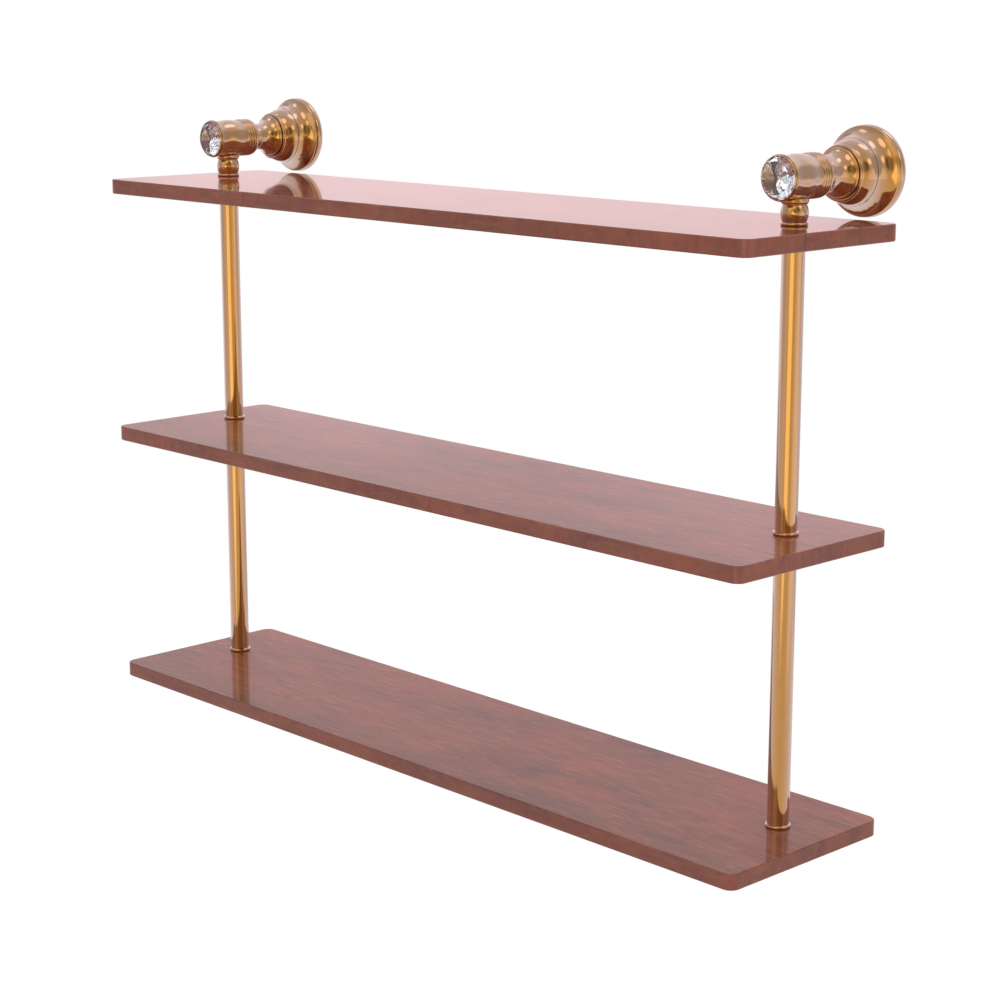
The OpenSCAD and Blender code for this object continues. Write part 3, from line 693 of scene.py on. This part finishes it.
class SHELF_OT_cut_crystals(bpy.types.Operator):
    """Cut the two brilliants from round blanks, facet by facet"""

    bl_idname = "shelf.cut_crystals"
    bl_label = "Cut the crystals"

    def execute(self, context):
        cutting = context.scene.shelf_crystal
        steps = cutting.facets
        low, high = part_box("left_crystal")
        centre = (low + high) / 2
        axis_x = (low.x + high.x) / 2
        axis_z = (low.z + high.z) / 2
        # the middle of a ring's side is this share of its corners' distance from the axis
        side_share = math.cos(math.pi / steps)
        # the rings of corners, from the table in front to the tip at the back: r from the axis, y in depth
        girdle_r = (high.x - low.x) / 2
        girdle_y = low.y + cutting.crown
        base_y = girdle_y + cutting.girdle
        table_r = girdle_r * cutting.table_share
        crown_r = table_r + cutting.crown_share * (girdle_r - table_r)
        crown_y = girdle_y - cutting.crown * (girdle_r - crown_r * side_share) / (girdle_r - table_r)
        pavilion_r = cutting.pavilion_share * girdle_r
        pavilion_y = base_y + (high.y - base_y) * (1 - pavilion_r * side_share / girdle_r)
        tip = Vector((axis_x, high.y, axis_z))

        def corner(turn, r, y):
            """The corner of a ring after so many steps round the axis."""
            angle = 2 * math.pi * (turn + 0.5) / steps
            return Vector((axis_x + r * math.cos(angle), y, axis_z + r * math.sin(angle)))

        bpy.ops.object.select_all(action="DESELECT")
        bpy.ops.mesh.primitive_cylinder_add(
            vertices=8 * steps, radius=girdle_r, depth=high.y - low.y, location=centre,
            rotation=(math.pi / 2, 0, 0))
        first = context.object
        bpy.ops.object.transform_apply(location=True, rotation=True, scale=True)
        bpy.ops.object.mode_set(mode="EDIT")
        for i in range(steps):
            table, crown = corner(i, table_r, low.y), corner(i + 0.5, crown_r, crown_y)
            deep = corner(i + 0.5, pavilion_r, pavilion_y)
            # the kite beside the table, and the star facet between two kites
            cut_facet(table, crown, corner(i - 0.5, crown_r, crown_y), centre)
            cut_facet(table, corner(i + 1, table_r, low.y), crown, centre)
            # the pairs of narrow facets that meet the girdle, in front of it and behind it
            for ring_y, far in ((girdle_y, crown), (base_y, deep)):
                for turn in (i, i + 1):
                    cut_facet(far, corner(i + 0.5, girdle_r, ring_y), corner(turn, girdle_r, ring_y), centre)
            # the long facet down to the tip
            cut_facet(tip, deep, corner(i - 0.5, pavilion_r, pavilion_y), centre)
        bpy.ops.mesh.select_all(action="SELECT")
        bpy.ops.mesh.remove_doubles(threshold=WELD)
        bpy.ops.mesh.normals_make_consistent(inside=False)
        bpy.ops.object.mode_set(mode="OBJECT")
        softened = first.modifiers.new("arris", "BEVEL")
        softened.width = cutting.arris
        softened.segments = 1
        softened.limit_method = "ANGLE"
        softened.angle_limit = cutting.arris_angle
        bpy.ops.object.modifier_apply(modifier=softened.name)
        first.name = "left_cut_crystal"
        second = first.copy()
        second.data = first.data.copy()
        second.name = "right_cut_crystal"
        context.collection.objects.link(second)
        other_low, other_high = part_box("right_crystal")
        bpy.ops.object.select_all(action="DESELECT")
        second.select_set(True)
        context.view_layer.objects.active = second
        bpy.ops.transform.translate(value=((other_low.x + other_high.x) / 2 - axis_x, 0, 0))
        bpy.ops.object.transform_apply(location=True, rotation=True, scale=True)
        glass = lead_crystal(cutting, girdle_y)
        for side, piece in zip(SIDES, (first, second)):
            piece.data.materials.append(glass)
            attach(piece, "root")
            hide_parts(f"{side}_crystal")
        return {"FINISHED"}


class SHELF_OT_set_stage(bpy.types.Operator):
    """Set up the floor, the soft boxes, the surround and the camera"""

    bl_idname = "shelf.set_stage"
    bl_label = "Set the stage"

    def execute(self, context):
        studio = context.scene.shelf_studio
        middle = (CAD_BOX[0] + CAD_BOX[1]) / 2
        bpy.ops.object.select_all(action="DESELECT")
        bpy.ops.mesh.primitive_plane_add(size=studio.floor_size, location=(0, 0, -studio.floor_drop))
        floor = context.object
        floor.name = "floor"
        bpy.ops.object.transform_apply(location=True, rotation=True, scale=True)
        floor.data.materials.append(pale_floor(studio))
        for name, (toward, share) in SOFT_BOXES.items():
            direction = Vector(toward).normalized()
            lamp = bpy.data.lights.new(name, "AREA")
            lamp.shape = "DISK"
            lamp.size = studio.lamp_width
            # a disc's power is its brightness times pi times its area
            lamp.energy = share * studio.lamp_light * (math.pi * studio.lamp_width / 2) ** 2
            box = bpy.data.objects.new(name, lamp)
            box.location = middle + direction * studio.lamp_distance
            box.rotation_euler = (-direction).to_track_quat("-Z", "Y").to_euler()
            box.visible_glossy = False
            box.visible_transmission = False
            context.collection.objects.link(box)
        context.scene.world = studio_surround(studio)
        lens = bpy.data.cameras.new("camera")
        lens.lens = LENS_LENGTH
        lens.sensor_width = SENSOR_WIDTH
        camera = bpy.data.objects.new("camera", lens)
        camera.location = CAMERA_PLACE
        camera.rotation_euler = (math.radians(CAMERA_TILT), 0, math.radians(CAMERA_TURN))
        context.collection.objects.link(camera)
        context.scene.camera = camera
        context.scene.view_settings.view_transform = "Standard"
        return {"FINISHED"}


class SHELF_PT_panel(bpy.types.Panel):
    """Lists the steps that dress the shelf, and their settings"""

    bl_idname = "SHELF_PT_panel"
    bl_label = "Wall shelf"
    bl_space_type = "VIEW_3D"
    bl_region_type = "UI"
    bl_category = "Wall shelf"

    def draw(self, context):
        for step in STEPS:
            self.layout.operator(step.bl_idname)
        for group in GROUPS:
            settings = getattr(context.scene, group)
            for name in settings.__annotations__:
                self.layout.prop(settings, name)


STEPS = (
    SHELF_OT_finish_boards, SHELF_OT_finish_brass, SHELF_OT_finish_steel,
    SHELF_OT_cut_crystals, SHELF_OT_set_stage,
)
GROUPS = {
    "shelf_wood": WoodFinish, "shelf_brass": BrassFinish, "shelf_steel": SteelFinish,
    "shelf_crystal": CrystalCut, "shelf_studio": StudioSet,
}


def register():
    for item in (*GROUPS.values(), *STEPS, SHELF_PT_panel):
        bpy.utils.register_class(item)
    for name, group in GROUPS.items():
        setattr(bpy.types.Scene, name, bpy.props.PointerProperty(type=group))


def unregister():
    for name in GROUPS:
        delattr(bpy.types.Scene, name)
    for item in (SHELF_PT_panel, *reversed(STEPS), *GROUPS.values()):
        bpy.utils.unregister_class(item)


def main():
    register()
    for step in (
        bpy.ops.shelf.finish_boards, bpy.ops.shelf.finish_brass, bpy.ops.shelf.finish_steel,
        bpy.ops.shelf.cut_crystals, bpy.ops.shelf.set_stage,
    ):
        step()


if __name__ == "__main__":
    main()
